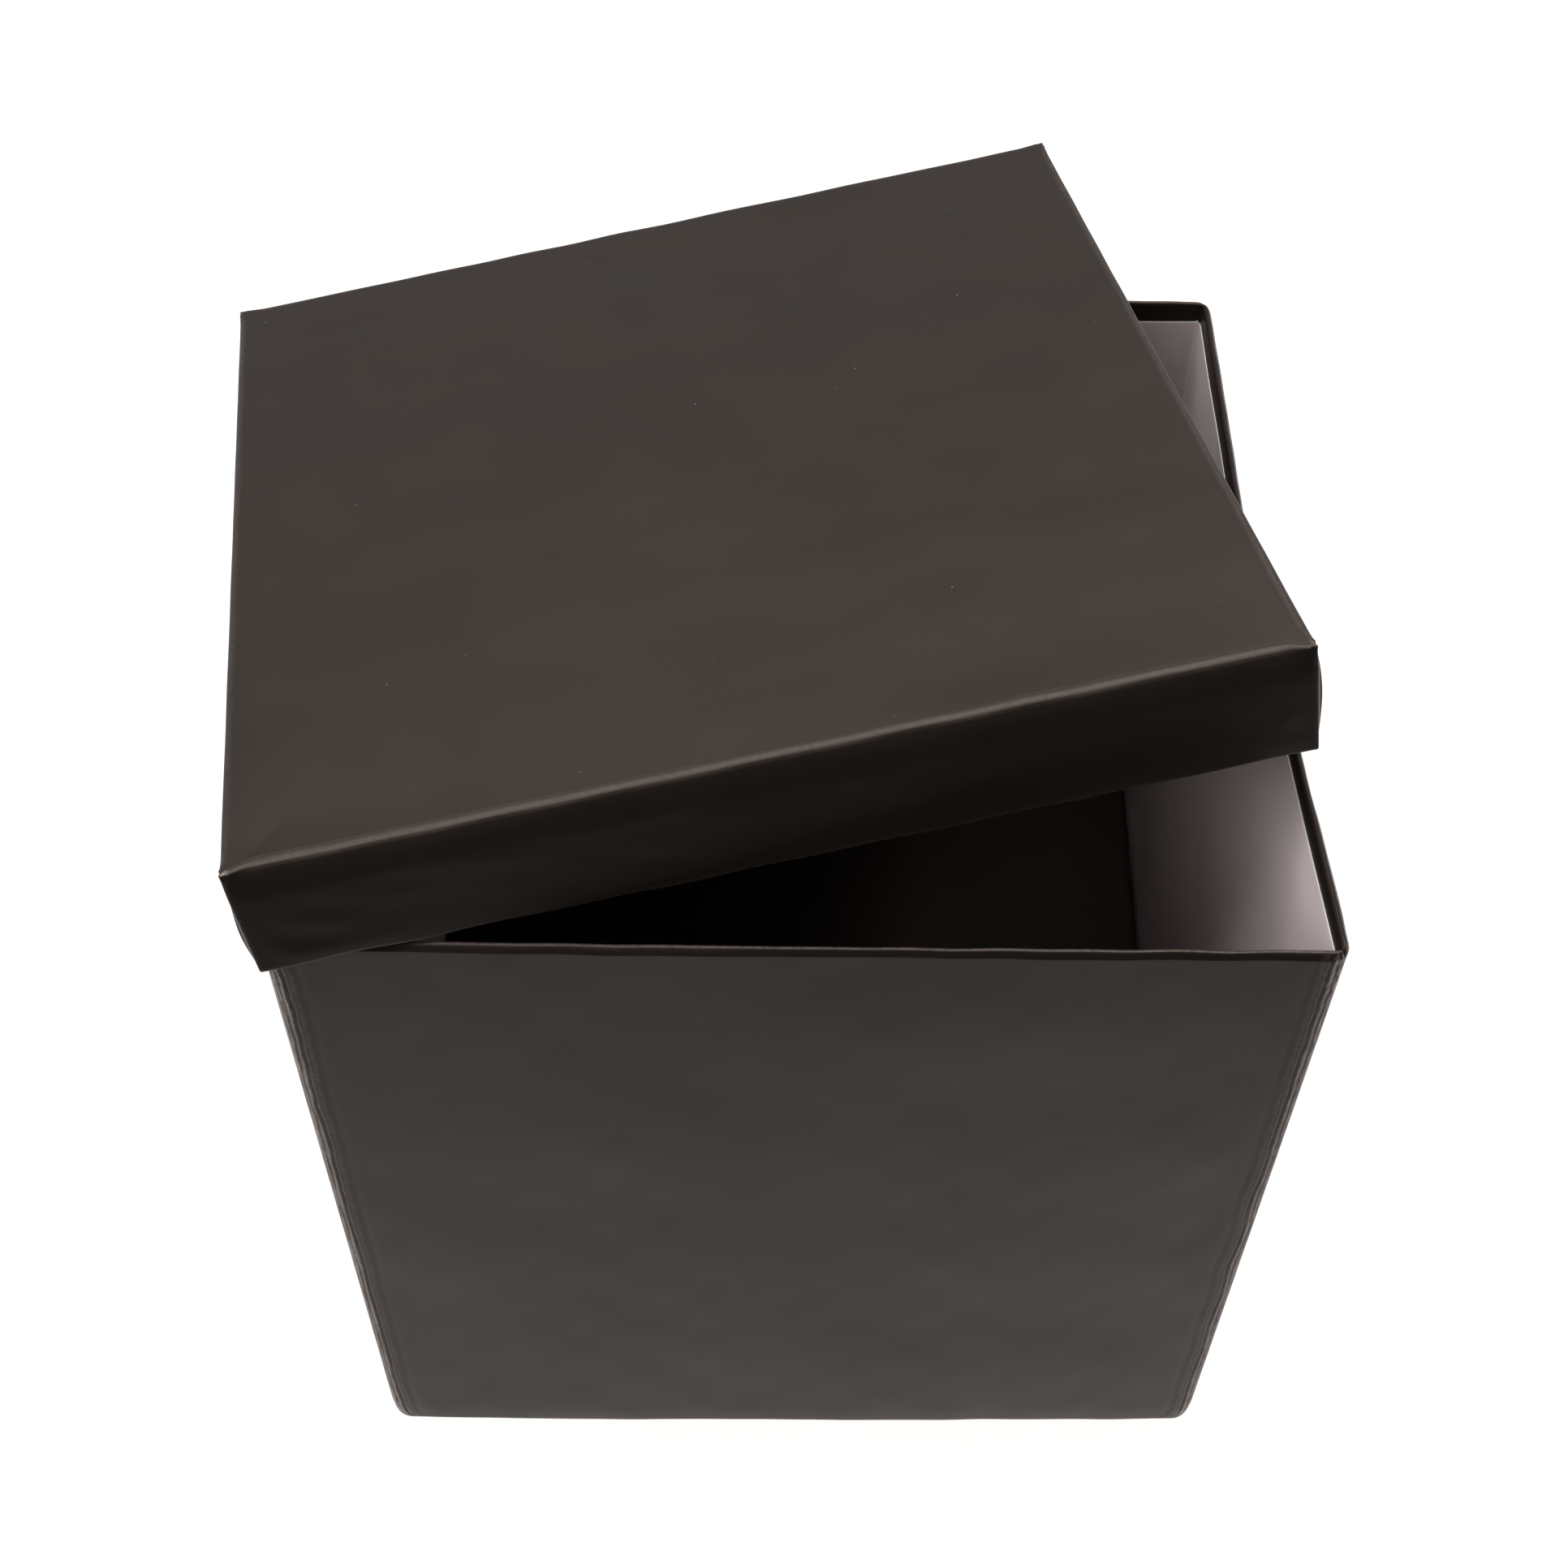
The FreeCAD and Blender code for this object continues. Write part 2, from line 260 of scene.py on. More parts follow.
def shell(name, grid, thickness, loop):
    """A thin sheet: the grid, the same again set in by the thickness, and the cut edges between."""
    rows, columns = grid.shape[:2]
    inner = grid - grid_normals(grid, loop) * thickness
    count = rows * columns
    vertices = np.concatenate([grid.reshape(-1, 3), inner.reshape(-1, 3)])
    outer_faces = quads(rows, columns, loop)
    faces = list(outer_faces)
    faces += [tuple(count + i for i in reversed(face)) for face in outer_faces]

    def rim(line):
        for a, b in line:
            faces.append((b, a, a + count, b + count))

    around = [(c, (c + 1) % columns) for c in range(columns if loop else columns - 1)]
    rim(around)
    rim([((rows - 1) * columns + b, (rows - 1) * columns + a) for a, b in around])
    if not loop:
        rim([((r + 1) * columns, r * columns) for r in range(rows - 1)])
        rim([(r * columns + columns - 1, (r + 1) * columns + columns - 1) for r in range(rows - 1)])
    return mesh_object(name, vertices, faces, 50)


GROWTH = 1.18


def stretch(length, fine, near, coarse):
    """Shares of a run's length: fine steps near both its ends, growing to coarse ones beyond near."""
    half, at, step = [], 0.0, fine
    while at < length / 2 - coarse * 0.6:
        half.append(at)
        at += step
        if at > near:
            step = min(step * GROWTH, coarse)
    half = np.array(half)
    return np.concatenate([half, [length / 2], length - half[::-1]]) / length


ARC = 23  # points round a corner
RUN = stretch(238.0, 0.4, 8.0, 4.5)[1:-1]  # shares of a side, between two corners
SIDE_BLOCK = ARC + len(RUN)
CORNERS = ((1, -1, -90), (1, 1, 0), (-1, 1, 90), (-1, -1, 180))  # side of x, side of y, first angle


def ring(half_x, half_y, radii):
    """A rounded rectangle's points, always as many: an arc at each corner, then the run to the next."""
    arcs = []
    for (sx, sy, start), radius in zip(CORNERS, radii):
        turn = np.radians(start + np.linspace(0, 90, ARC))
        centre = np.array([sx * (half_x - radius), sy * (half_y - radius)])
        arcs.append(centre + radius * np.stack([np.cos(turn), np.sin(turn)], 1))
    points = []
    for i, arc in enumerate(arcs):
        points.append(arc)
        start, end = arc[-1], arcs[(i + 1) % 4][0]
        points.append(start + (end - start) * RUN[:, None])
    return np.concatenate(points)


def level_ring(half_x, half_y, radii, z):
    """The same ring as points at one height."""
    plan = ring(half_x, half_y, radii)
    return np.column_stack([plan, np.full(len(plan), z)])


def ring_places(half_x, half_y, radius):
    """Each ring point's corner, its way round from that corner's middle, and from the ring's start."""
    plan = ring(half_x, half_y, [radius] * 4)
    step = np.linalg.norm(np.roll(plan, -1, axis=0) - plan, axis=1)
    along = np.concatenate([[0], np.cumsum(step)[:-1]])
    total = step.sum()
    middles = [along[i * SIDE_BLOCK + ARC // 2] for i in range(4)]
    gap = np.array([((along - m + total / 2) % total) - total / 2 for m in middles])
    nearest = np.abs(gap).argmin(0)
    return nearest, gap[nearest, np.arange(len(plan))], along


# ---- materials --------------------------------------------------------------------------------------
def shade(tone, share=1.0):
    """A tone made darker or lighter, as the four numbers of a colour."""
    return tuple(share * c for c in tone) + (1,)


def add_node(tree, kind, settings=None, **inputs):
    """A node with its settings, and its inputs by name, or by number as i0, i1 and so on."""
    made = tree.nodes.new(kind)
    for key, val in (settings or {}).items():
        setattr(made, key, val)
    for key, val in inputs.items():
        numbered = key[0] == "i" and key[1:].isdigit()
        socket = made.inputs[int(key[1:]) if numbered else key]
        if isinstance(val, bpy.types.NodeSocket):
            tree.links.new(val, socket)
        else:
            socket.default_value = val
    return made


def new_material(name):
    """A material with a bare Principled shader, and the object's own coordinates for its patterns."""
    material = bpy.data.materials.new(name)
    material.use_nodes = True
    tree = material.node_tree
    tree.nodes.clear()
    output = tree.nodes.new("ShaderNodeOutputMaterial")
    shader = tree.nodes.new("ShaderNodeBsdfPrincipled")
    tree.links.new(shader.outputs[0], output.inputs[0])
    place = tree.nodes.new("ShaderNodeTexCoord").outputs["Object"]
    return material, tree, shader, place


def noise(tree, place, per_metre, detail=3.0, rough=0.55):
    made = add_node(tree, "ShaderNodeTexNoise", Vector=place, Scale=per_metre, Detail=detail,
                    Roughness=rough)
    return made.outputs["Fac"]


def map_range(tree, value, low, high, to_low, to_high):
    """A smooth step from to_low at low to to_high at high."""
    made = add_node(tree, "ShaderNodeMapRange", {"interpolation_type": "SMOOTHSTEP"}, i0=value)
    for index, number in zip((1, 2, 3, 4), (low, high, to_low, to_high)):
        made.inputs[index].default_value = number
    return made.outputs[0]


def maths(tree, kind, a, b):
    return add_node(tree, "ShaderNodeMath", {"operation": kind}, i0=a, i1=b).outputs[0]


def mix_colour(tree, amount, a, b):
    made = add_node(tree, "ShaderNodeMix", {"data_type": "RGBA"}, i0=amount, i6=a, i7=b)
    return made.outputs[2]


def mottled(tree, pattern, low, high):
    """Two colours mixed by a noise pattern."""
    return mix_colour(tree, map_range(tree, pattern, 0.3, 0.7, 0, 1), low, high)


def marks_and_sheen_attribute(tree):
    return add_node(tree, "ShaderNodeAttribute", {"attribute_name": "marks_and_sheen"}).outputs["Fac"]


def relief(tree, shader, layers):
    """Stacks bumps on the shader: (height, strength, depth in metres) for each layer."""
    below = None
    for height, strength, depth in layers:
        made = add_node(tree, "ShaderNodeBump", Height=height, Strength=strength, Distance=depth)
        if below is not None:
            tree.links.new(below, made.inputs["Normal"])
        below = made.outputs[0]
    tree.links.new(below, shader.inputs["Normal"])


def set_inputs(shader, **inputs):
    """Sets a shader's inputs by name, with _ for a space."""
    for key, val in inputs.items():
        shader.inputs[key.replace("_", " ")].default_value = val


# the paler tone of rubbed paper, also used for painted sheen and painted highlights
RUB_AND_SHEEN_TONE = (0.215, 0.175, 0.165)
DUST_TONE = (0.55, 0.53, 0.50)
CUT_EDGE_TONE = (0.80, 0.77, 0.76)
WARM_GLEAM = (1.0, 0.80, 0.69)


def wrap_paper(name, tone, dust, grazing=1.0, roughness=0.40, shine=0.26):
    """Matte laminated dark paper with a fine tooth, soft mottling and a little dust.

    A vertex attribute above 0 makes it paler, for rubbed paper and for painted sheen and highlights,
    and below 0 takes away its gloss. dust is the number of cells per metre that may hold a speck, and
    grazing makes it glossier seen at a low angle.
    """
    material, tree, shader, place = new_material(name)
    mottle = noise(tree, place, 28, 4)
    fine = noise(tree, place, 1400, 2)
    tooth = noise(tree, place, 5200, 2)
    colour = mottled(tree, mottle, shade(tone, 0.93), shade(tone, 1.07))
    marks_and_sheen = marks_and_sheen_attribute(tree)
    # paler where the paper is rubbed, and where sheen and highlights are painted in
    paler_rub_and_sheen = maths(tree, "MAXIMUM", marks_and_sheen, 0.0)
    patches = map_range(tree, noise(tree, place, 700, 3), 0.35, 0.6, 0.35, 1)
    paler_rub_and_sheen = maths(tree, "MULTIPLY", paler_rub_and_sheen, patches)
    colour = mix_colour(tree, paler_rub_and_sheen, colour, shade(RUB_AND_SHEEN_TONE))
    cells = add_node(tree, "ShaderNodeTexVoronoi", {"feature": "F1"}, Vector=place, Scale=dust)
    speck = map_range(tree, cells.outputs["Distance"], 0.014, 0.030, 1, 0)
    some = map_range(tree, noise(tree, place, 70, 2), 0.48, 0.62, 0, 0.34)
    colour = mix_colour(tree, maths(tree, "MULTIPLY", speck, some), colour, shade(DUST_TONE))
    tree.links.new(colour, shader.inputs["Base Color"])
    gloss = map_range(tree, mottle, 0.3, 0.7, roughness - 0.012, roughness + 0.012)
    toothy = maths(tree, "MULTIPLY", fine, 0.04)
    tree.links.new(maths(tree, "ADD", gloss, toothy), shader.inputs["Roughness"])
    facing = add_node(tree, "ShaderNodeLayerWeight", Blend=0.5).outputs["Facing"]
    gleam = map_range(tree, facing, 0.42, 0.95, shine, grazing * shine)
    dull = map_range(tree, marks_and_sheen, -1.0, 0.0, 0.12, 1.0)
    tree.links.new(maths(tree, "MULTIPLY", gleam, dull), shader.inputs["Specular IOR Level"])
    set_inputs(shader, Specular_Tint=shade(WARM_GLEAM))
    waviness = noise(tree, place, 45, 3)
    relief(tree, shader, [(waviness, 0.12, 0.0010), (fine, 0.10, 0.00012), (tooth, 0.12, 0.00004)])
    return material


def liner_paper(name, tone):
    """Smooth light paper with a faint fibre, its cut edges paler."""
    material, tree, shader, place = new_material(name)
    cloud = noise(tree, place, 35, 4)
    fibre_place = add_node(tree, "ShaderNodeMapping", Vector=place)
    fibre_place.inputs["Scale"].default_value = (500, 500, 120)
    fibre = noise(tree, fibre_place.outputs[0], 3.0, 3)
    colour = mottled(tree, cloud, shade(tone, 0.95), shade(tone, 1.04))
    dark_fibres = map_range(tree, fibre, 0.62, 0.80, 0, 0.25)
    colour = mix_colour(tree, dark_fibres, colour, shade(tone, 0.8))
    colour = mix_colour(tree, marks_and_sheen_attribute(tree), colour, shade(CUT_EDGE_TONE))
    tree.links.new(colour, shader.inputs["Base Color"])
    tree.links.new(map_range(tree, cloud, 0.3, 0.7, 0.48, 0.56), shader.inputs["Roughness"])
    set_inputs(shader, Specular_IOR_Level=0.35)
    relief(tree, shader, [(cloud, 0.10, 0.0008), (fibre, 0.10, 0.00005)])
    return material


def greyboard(name):
    """Recycled board: speckled fibres on grey brown."""
    material, tree, shader, place = new_material(name)
    cloud = noise(tree, place, 90, 4)
    flecks = noise(tree, place, 1600, 3, 0.7)
    colour = mottled(tree, cloud, (0.25, 0.23, 0.20, 1), (0.36, 0.34, 0.30, 1))
    dark_flecks = map_range(tree, flecks, 0.60, 0.72, 0, 0.7)
    colour = mix_colour(tree, dark_flecks, colour, (0.10, 0.09, 0.08, 1))
    pale_flecks = map_range(tree, flecks, 0.28, 0.38, 0.6, 0)
    colour = mix_colour(tree, pale_flecks, colour, (0.60, 0.57, 0.52, 1))
    tree.links.new(colour, shader.inputs["Base Color"])
    set_inputs(shader, Roughness=0.85, Specular_IOR_Level=0.25)
    relief(tree, shader, [(cloud, 0.2, 0.0004), (flecks, 0.3, 0.0001)])
    return material


def kraft_tape(name):
    """Gummed kraft paper tape with long fibres."""
    material, tree, shader, place = new_material(name)
    long_place = add_node(tree, "ShaderNodeMapping", Vector=place)
    long_place.inputs["Scale"].default_value = (900, 900, 90)
    fibre = noise(tree, long_place.outputs[0], 2.0, 4)
    long_fibres = map_range(tree, fibre, 0.35, 0.65, 0, 1)
    colour = mix_colour(tree, long_fibres, (0.21, 0.16, 0.11, 1), (0.34, 0.26, 0.18, 1))
    tree.links.new(colour, shader.inputs["Base Color"])
    set_inputs(shader, Roughness=0.7, Specular_IOR_Level=0.3)
    relief(tree, shader, [(fibre, 0.25, 0.00008)])
    return material


DARK = (0.0090, 0.0068, 0.0056)
base_paper = wrap_paper("wrap_paper_base", DARK, 130, grazing=4.2)
lid_paper = wrap_paper("wrap_paper_lid", DARK, 137)
# a darker copy of the wrap's paper: painted shade for the box's shaded inside
floor_paper = wrap_paper("floor_paper", (0.0060, 0.0046, 0.0034), 60, roughness=0.5, shine=0.10)
pale_paper = liner_paper("liner_paper", (0.60, 0.517, 0.515))
board_stock = greyboard("greyboard")
tape_paper = kraft_tape("corner_tape")


def set_marks_and_sheen(thing, marks_and_sheen):
    """How worn each vertex is, for the materials."""
    layer = thing.data.attributes.new("marks_and_sheen", "FLOAT", "POINT")
    layer.data.foreach_set("value", np.asarray(marks_and_sheen, np.float32))


def finish_piece(thing, body, material, node, marks_and_sheen=None):
    """Gives a piece its finish, its body and the CAD node that it stands for."""
    thing.data.materials.append(material)
    if marks_and_sheen is not None:
        set_marks_and_sheen(thing, marks_and_sheen)
    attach(thing, body)
    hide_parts(node)


# ---- the base's wrap: outside, over the rim, and turned in under the lining -------------------------
def quarter(w_from, z_from, w_to, z_to, steps=5):
    """A quarter-round between two places of a section, each (depth in, height); it leaves upright."""
    found = []
    for t in np.linspace(0, math.pi / 2, steps):
        w = w_from + (w_to - w_from) * (1 - math.cos(t))
        found.append((w, z_from + (z_to - z_from) * math.sin(t)))
    return found


def quarter_over(w_from, z_from, w_to, z_to, steps=5):
    """The same, but it leaves flat."""
    found = []
    for t in np.linspace(0, math.pi / 2, steps):
        w = w_from + (w_to - w_from) * math.sin(t)
        found.append((w, z_from + (z_to - z_from) * (1 - math.cos(t))))
    return found


def bend(turns, steps=5):
    """Places along a section that sets off upwards and turns inwards by (length, degrees) in order."""
    angle, w, z = 0.0, 0.0, 0.0
    found = [(w, z)]
    for length, degrees in turns:
        half_turn = math.radians(degrees) / steps / 2
        for _ in range(steps):
            angle += half_turn
            w += length / steps * math.sin(angle)
            z += length / steps * math.cos(angle)
            angle += half_turn
            found.append((w, z))
    return np.array(found)


rim_bend = bend([(0.5, 28), (1.1, 6), (0.5, 24), (0.35, 32), (1.3, 90)])
rim_bend *= WALL / rim_bend[-1, 0]
BEVEL = rim_bend[:, 1].max()  # the height of the rim's roll
FOOT = 0.9 * MM  # the foot's radius
# the section's places are (depth in, height): down the inside to the foot, round it, up the outside,
# over the rim and down the inside again
section = [(WALL - 0.14 * MM, z * MM) for z in (12, 9, 6, 3, 1.5)]
section += quarter(WALL - 0.2 * MM, FOOT, WALL - FOOT, 0.0)
section += quarter_over(FOOT, 0.0, 0.0, FOOT)
climb = stretch((HEIGHT - BEVEL - FOOT) / MM, 0.8, 10.0, 2.6)[1:-1]
section += [(0.0, FOOT + t * (HEIGHT - BEVEL - FOOT)) for t in climb]
section += [(w, HEIGHT - BEVEL + z) for w, z in rim_bend]
section += [(WALL, HEIGHT - d * MM) for d in (1.8, 2.5, 3.4, 4.4, 5.2, 6.2, 8, 11, 14)]
section = np.array(section)
depth_in, level = section[:, 0], section[:, 1]

corner_of, from_corner, round_box = ring_places(HALF_W, HALF_D, CORNER)
rings = []
for w, z in section:
    inward = w / WALL
    outer_radius = CORNER + 1.5 * MM * max(0, 1 - z / (8 * MM))
    radii = [max(outer_radius * (1 - inward) + inner_mm * MM * inward, 0.5 * MM)
             for inner_mm in (0.7, 1.6, 1.6, 0.7)]
    rings.append(level_ring(HALF_W - w, HALF_D - w, radii, z))
base_grid = np.array(rings)

# the paper beside each corner: a crease with ridges along it, fainter creases next to those, crinkles
# that grow towards the rim, and a paler streaked band that is painted sheen; s, off and z_mm are
# millimetres round the box, from the crease, and up
CREASE_FROM_CORNER = 3.2
SIDE_FACE_WAY = (-1, 1, -1, 1)  # which way round from the corner's middle the side wall lies
CORNER_SHEEN_STRENGTH = (1.0, 0.3, 0.3, 1.0)
s = from_corner / MM
z_mm = level[:, None] / MM
on_face = ramp(depth_in[:, None], 0.6 * WALL, 0.1 * WALL)
rise = ramp(z_mm, 150, 244)
lift = np.zeros(base_grid.shape[:2])
corner_sheen = np.zeros(base_grid.shape[:2])
for number, face_way in enumerate(SIDE_FACE_WAY):
    here = (corner_of == number)[None, :]
    wander = 0.26 * ripple(40 + number, 42, z_mm) + 0.10 * ripple(50 + number, 9, z_mm)
    second = 0.15 * ripple(60 + number, 27, z_mm) + 0.08 * ripple(70 + number, 7, z_mm)
    off = (s - face_way * CREASE_FROM_CORNER) * face_way - wander - 0.4 * rise
    ridge = 0.0
    for height, middle, width in (
            (-0.30, 0, 0.30), (0.22, -0.70, 0.28), (0.14, 0.70, 0.32),
            (0.10, 2.0, 0.8), (-0.10, 3.6, 1.2),
            (0.20, -2.3 + second, 0.28), (-0.16, -1.7 + second, 0.28),
            (0.16, -3.4 - second, 0.30), (-0.12, -2.9 - second, 0.26)):
        ridge = ridge + height * bump(off, middle, width)
    crinkle = 0.05 * ripple(80 + number, 4, s[None, :] * 2.0, z_mm) * bump(off, -1.8, 2.2)
    ridge = ridge + crinkle * (1 + 0.8 * rise)
    lift = np.where(here, ridge, lift)
    # a paler, streaked band beside each corner's crease: painted sheen for the glancing light on the
    # rounded corner
    streak = 0.55 + 0.45 * ripple(90 + number, 1.6, s[None, :], z_mm / 12)
    band = ramp(off, -0.2, -0.8) * ramp(off, -8, -6.5) * np.clip(streak, 0.25, 1.2)
    band = band + 0.22 * bump(off, 1.6, 0.8)
    corner_sheen = np.where(here, band * CORNER_SHEEN_STRENGTH[number], corner_sheen)
lift *= on_face * ramp(z_mm, 0.5, 6)
around_mm = round_box[None, :] / MM
slow = 0.16 * ripple(3, 60, around_mm, z_mm) + 0.05 * ripple(4, 17, around_mm, z_mm)
lift = lift + slow * ramp(np.abs(s), 6, 14)[None, :] * on_face
plan_normal = grid_normals(base_grid, True)
plan_normal[..., 2] = 0
base_grid += plan_normal * lift[..., None] * MM

# the rim's roll wanders a little, and is pinched and slit where the turned-in paper meets in a corner
at_rim = ramp(z_mm, 241.0, 243.2)
base_grid[..., 2] += at_rim * 0.14 * MM * ripple(8, 22, around_mm)
gather = np.zeros(len(s))
for number, strength in enumerate((1.0, 0.1, 0.1, 1.0)):
    pinch = -1.15 * bump(s, 0, 0.55) + 0.32 * bump(s, -1.9, 0.8) + 0.28 * bump(s, 2.0, 0.7)
    gather = np.where(corner_of == number, strength * pinch, gather)
base_grid[..., 2] += at_rim * gather[None, :] * MM

# the paper is paler beside the corners, a painted sheen, and along the front rim's crest, a painted
# highlight, and dull on the side rims
outer_marks_and_sheen = 0.55 * corner_sheen * on_face
at_side = ramp(np.abs(base_grid[..., 0]), HALF_W - 4 * MM, HALF_W - 2.5 * MM)
outer_marks_and_sheen -= 0.6 * at_rim * at_side * ramp(base_grid[..., 1], -0.122, -0.118)
at_front = ramp(-base_grid[..., 1], HALF_D - 4 * MM, HALF_D - 2.5 * MM)
# a painted highlight along the front rim's crest
outer_marks_and_sheen += 0.22 * at_rim * bump(depth_in[:, None] / MM, 1.5, 0.28) * at_front
base_wrap = shell("outer_wrap_paper", sprung_base(base_grid), PAPER, True)
finish_piece(base_wrap, "base", base_paper, "outer_wrap",
             marks_and_sheen=np.concatenate([outer_marks_and_sheen.ravel(), np.zeros(outer_marks_and_sheen.size)]))

# ---- the wall lining --------------------------------------------------------------------------------
lining_in = WALL + 0.04 * MM
lining_foot = 0.6 * MM
top = HEIGHT - TURN_IN
levels = lining_foot + stretch((top - lining_foot) / MM, 1.0, 10.0, 4.0) * (top - lining_foot)
radii = [0.7 * MM, 1.7 * MM, 1.7 * MM, 0.7 * MM]
lining_grid = np.array([level_ring(HALF_W - lining_in, HALF_D - lining_in, radii, z)
                        for z in levels[::-1]])
below = (top - lining_grid[..., 2]) / MM
# its top edge dips towards the back, and curls away from the two back corners
dip = 0.5 + 1.1 * ramp(lining_grid[..., 1], -0.03, 0.11)
lining_grid[..., 2] -= MM * dip * np.exp(-below / 60)
for number in (1, 2):
    curl = np.where(corner_of == number, bump(s, 0, 1.5), 0)[None, :] * np.exp(-below / 2.5)
    lining_grid[..., 2] += 0.9 * MM * curl
    inward = -lining_grid * np.array([1, 1, 0])
    inward /= np.linalg.norm(inward, axis=2, keepdims=True)
    lining_grid += inward * 0.55 * MM * curl[..., None]
lining_grid[..., 2] += 0.18 * MM * ripple(9, 45, around_mm) * np.exp(-below / 3)
loose = ramp(np.abs(s), 4, 12)[None, :] * ramp(below, 2, 30)
wave = 0.14 * ripple(12, 70, around_mm, lining_grid[..., 2] / MM) + 0.14
lining_grid += -grid_normals(lining_grid, True) * (wave * loose)[..., None] * MM
lining_worn = np.exp(-below / 0.35) * 0.9
lining = shell("wall_liner_paper", sprung_base(lining_grid)[:, ::-1], PAPER, True)
finish_piece(lining, "base", pale_paper, "wall_liner",
             marks_and_sheen=np.concatenate([lining_worn[:, ::-1].ravel()] * 2))


# ---- boards -----------------------------------------------------------------------------------------
def tidy_normals(thing, merge=None):
    """Turns all faces outwards, after joining the vertices nearer than merge."""
    work = bmesh.new()
    work.from_mesh(thing.data)
    if merge is not None:
        bmesh.ops.remove_doubles(work, verts=work.verts, dist=merge)
    bmesh.ops.recalc_face_normals(work, faces=work.faces)
    work.to_mesh(thing.data)
    work.free()


def cuts(low, high, step):
    """Places from low to high, about a step apart."""
    count = max(1, int(round((high - low) / step)))
    return np.linspace(low, high, count + 1)


def board(name, low, high, shape, body, step=6 * MM, edge=0.25 * MM):
    """A board with softened edges, cut finely enough to follow its body's shape."""
    low, high = np.array(low), np.array(high)
    size = high - low
    thin = int(size.argmin())
    u, v = [i for i in range(3) if i != thin]
    places_u = np.concatenate([[low[u]], cuts(low[u] + edge, high[u] - edge, step), [high[u]]])
    places_v = np.concatenate([[low[v]], cuts(low[v] + edge, high[v] - edge, step), [high[v]]])
    vertices, faces, index = [], [], {}

    def at(i, j, side):
        key = (i, j, side)
        if key not in index:
            point = np.zeros(3)
            point[u], point[v] = places_u[i], places_v[j]
            on_edge = i in (0, len(places_u) - 1) or j in (0, len(places_v) - 1)
            inset = edge if on_edge else 0.0
            point[thin] = low[thin] + inset if side == 0 else high[thin] - inset
            index[key] = len(vertices)
            vertices.append(point)
        return index[key]

    n, m = len(places_u), len(places_v)
    for side in (0, 1):
        for i in range(n - 1):
            for j in range(m - 1):
                corners = ((i, j), (i + 1, j), (i + 1, j + 1), (i, j + 1))
                faces.append([at(*corner, side) for corner in corners])
    rim = [(i, 0) for i in range(n - 1)] + [(n - 1, j) for j in range(m - 1)]
    rim += [(i, m - 1) for i in range(n - 1, 0, -1)] + [(0, j) for j in range(m - 1, 0, -1)]
    for (a, b), (c, d) in zip(rim, rim[1:] + rim[:1]):
        faces.append([at(a, b, 0), at(c, d, 0), at(c, d, 1), at(a, b, 1)])
    thing = mesh_object(name, shape(np.array(vertices)), faces, 30)
    tidy_normals(thing)
    finish_piece(thing, body, board_stock, name.replace("_core", ""))


BOARD_INSET = 0.36 * MM  # clear of the paper on both faces, where the paper is creased
for node in ("front_board", "back_board", "left_front_board", "left_rear_board",
             "right_front_board", "right_rear_board"):
    low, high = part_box(node)
    low, high = np.array(low), np.array(high)
    thin = int((high - low).argmin())
    low[thin] += BOARD_INSET
    high[thin] -= BOARD_INSET
    low[2] = 0.45 * MM
    high[2] = HEIGHT - 2.1 * MM
    board(node + "_core", low, high, sprung_base, "base")

TAPE_INSET = 0.3 * MM
TAPE_REACH = 4.6 * MM  # to each side of a corner's middle
plan = ring(HALF_W - TAPE_INSET, HALF_D - TAPE_INSET, [CORNER - TAPE_INSET] * 4)
heights = cuts(8 * MM, HEIGHT - 3 * MM, 5 * MM)
for node, number in (("corner_tape_front_right", 0), ("corner_tape_back_right", 1),
                     ("corner_tape_back_left", 2), ("corner_tape_front_left", 3)):
    chosen = np.flatnonzero((corner_of == number) & (np.abs(from_corner) < TAPE_REACH))
    chosen = chosen[np.argsort(from_corner[chosen])]
    grid = np.array([np.column_stack([plan[chosen], np.full(len(chosen), z)]) for z in heights])
    tape = shell(node + "_paper", sprung_base(grid), 0.25 * MM, False)
    finish_piece(tape, "base", tape_paper, node)

strip_low, strip_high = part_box("floor_hinge_strip")
across = cuts(strip_low.x, strip_high.x, 4 * MM)
up = cuts(strip_low.z, strip_high.z, 1.5 * MM)
gx, gz = np.meshgrid(across, up)
proud = 0.10 * MM * (1 + ripple(21, 40, gx / MM, gz / MM)) * ramp(gz, up[2], up[-1])
gy = strip_high.y + 0.02 * MM + proud
strip_grid = sprung_base(np.stack([gx, gy, gz], 2))[:, ::-1]
strip = shell("floor_hinge_strip_paper", strip_grid, 0.12 * MM, False)
finish_piece(strip, "base", pale_paper, "floor_hinge_strip")

# ---- the floor panel --------------------------------------------------------------------------------
# its own frame has its middle on the origin, its top at z = 0 and its hinge towards -Y
HALF_PANEL = 120  # millimetres; the patterns of the floor's and the lid's flat parts are laid out on it
soft = 0.8 * MM  # its edge's radius
floor_section = [(3.0 * MM, -FLOOR_T), (2.0 * MM, -FLOOR_T), (soft, -FLOOR_T)]
floor_section += quarter_over(soft, -FLOOR_T, 0.0, -FLOOR_T + soft)[1:]
floor_section += quarter(0.0, -soft, soft, 0.0)
floor_rings = []
for w, z in floor_section:
    radii = [max(0.8 * MM - w * 0.4, 0.3 * MM)] * 4
    floor_rings.append(level_ring(FLOOR_W - w, FLOOR_D - w, radii, z))
edge_shares = 1 - np.array([1.5, 3, 5, 8, 12, 17]) / HALF_PANEL
for share in np.concatenate([edge_shares, np.linspace(0.8, 0.02, 22)]):
    radii = [0.3 * MM * share] * 4
    floor_rings.append(level_ring((FLOOR_W - soft) * share, (FLOOR_D - soft) * share, radii, 0.0))
floor_grid = np.array(floor_rings)
